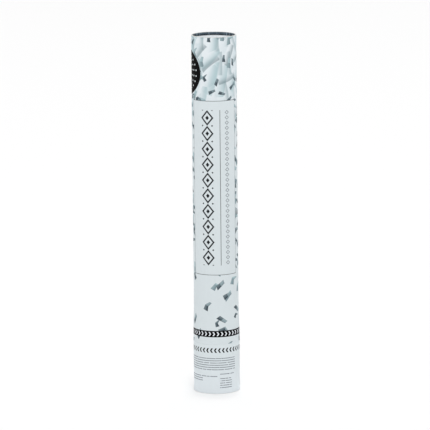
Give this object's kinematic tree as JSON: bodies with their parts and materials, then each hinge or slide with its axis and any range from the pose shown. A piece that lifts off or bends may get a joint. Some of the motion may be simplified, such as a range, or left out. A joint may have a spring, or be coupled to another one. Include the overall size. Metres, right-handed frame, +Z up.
{
  "type": "confetti popper",
  "caption": "Tall round confetti popper: a paperboard barrel plugged by a dark cup, on a grip that twists to open an air canister's valve and throw the strips.",
  "frame": {"origin": "middle of the grip's foot, on the surface it stands on", "axes": "+Z up along the barrel, the printed front towards -Y"},
  "size_m": [0.0514, 0.0514, 0.4],
  "materials": {
    "board": "uncoated white-lined paperboard",
    "print": "gloss printed film, pale cool ground with dark flecks",
    "cup": "metallised, dark steel blue",
    "disc": "foil-faced card, pale silver",
    "plastic": "moulded, fine texture",
    "canister": "drawn, satin",
    "rubber": "moulded",
    "steel": "drawn wire and bar",
    "brass": "turned",
    "foam": "cut sheet foam",
    "strips": "metallised film, silver"
  },
  "bodies": {
    "barrel": {"barrel_tube": "board", "barrel_wrap": "print", "flare_sleeve": "board", "barrel_socket": "plastic", "retaining_ring": "steel", "rod_seal": "rubber", "air_canister": "canister", "neck_gasket": "rubber", "valve_seat": "brass", "canister_spider": "plastic", "return_spring": "steel"},
    "grip": {"grip_tube": "board", "grip_wrap": "print", "base_disc": "board", "cam_ring": "plastic", "bearing_collar": "plastic", "thrust_washer": "plastic"},
    "pusher": {"crosshead": "plastic", "push_rod": "steel"},
    "valve": {"valve_plug": "plastic", "plug_seal": "rubber"},
    "charge": {"wad_foam": "foam", "wad_card": "board", "strips_tier_1": "strips", "strips_tier_2": "strips", "strips_tier_3": "strips"},
    "lid": {"mouth_cup": "cup", "cup_disc": "disc"}
  },
  "joints": [
    {"name": "grip_twist", "type": "hinge", "parent": "barrel", "child": "grip", "pos_m": [0, 0, 0.0282], "axis": [0, 0, -1], "range_deg": [0, 90], "stiffness_Nm_per_rad": 0.0265, "springref_deg": -44.98},
    {"name": "rod_lift", "type": "slide", "parent": "barrel", "child": "pusher", "axis": [0, 0, 1], "range_m": [0, 0.008], "deforming": ["return_spring"]},
    {"name": "valve_lift", "type": "slide", "parent": "barrel", "child": "valve", "axis": [0, 0, 1], "range_m": [0, 0.008]},
    {"name": "charge_launch", "type": "slide", "parent": "barrel", "child": "charge", "axis": [0, 0, 1], "range_m": [0, 0.2]},
    {"name": "lid_pop", "type": "slide", "parent": "charge", "child": "lid", "axis": [0, 0, 1], "range_m": [0, 0.06]}
  ],
  "couplings": [
    {"joint": "rod_lift", "follows": "grip_twist", "m_per_rad": 0.005093},
    {"joint": "valve_lift", "follows": "grip_twist", "m_per_rad": 0.005093}
  ]
}
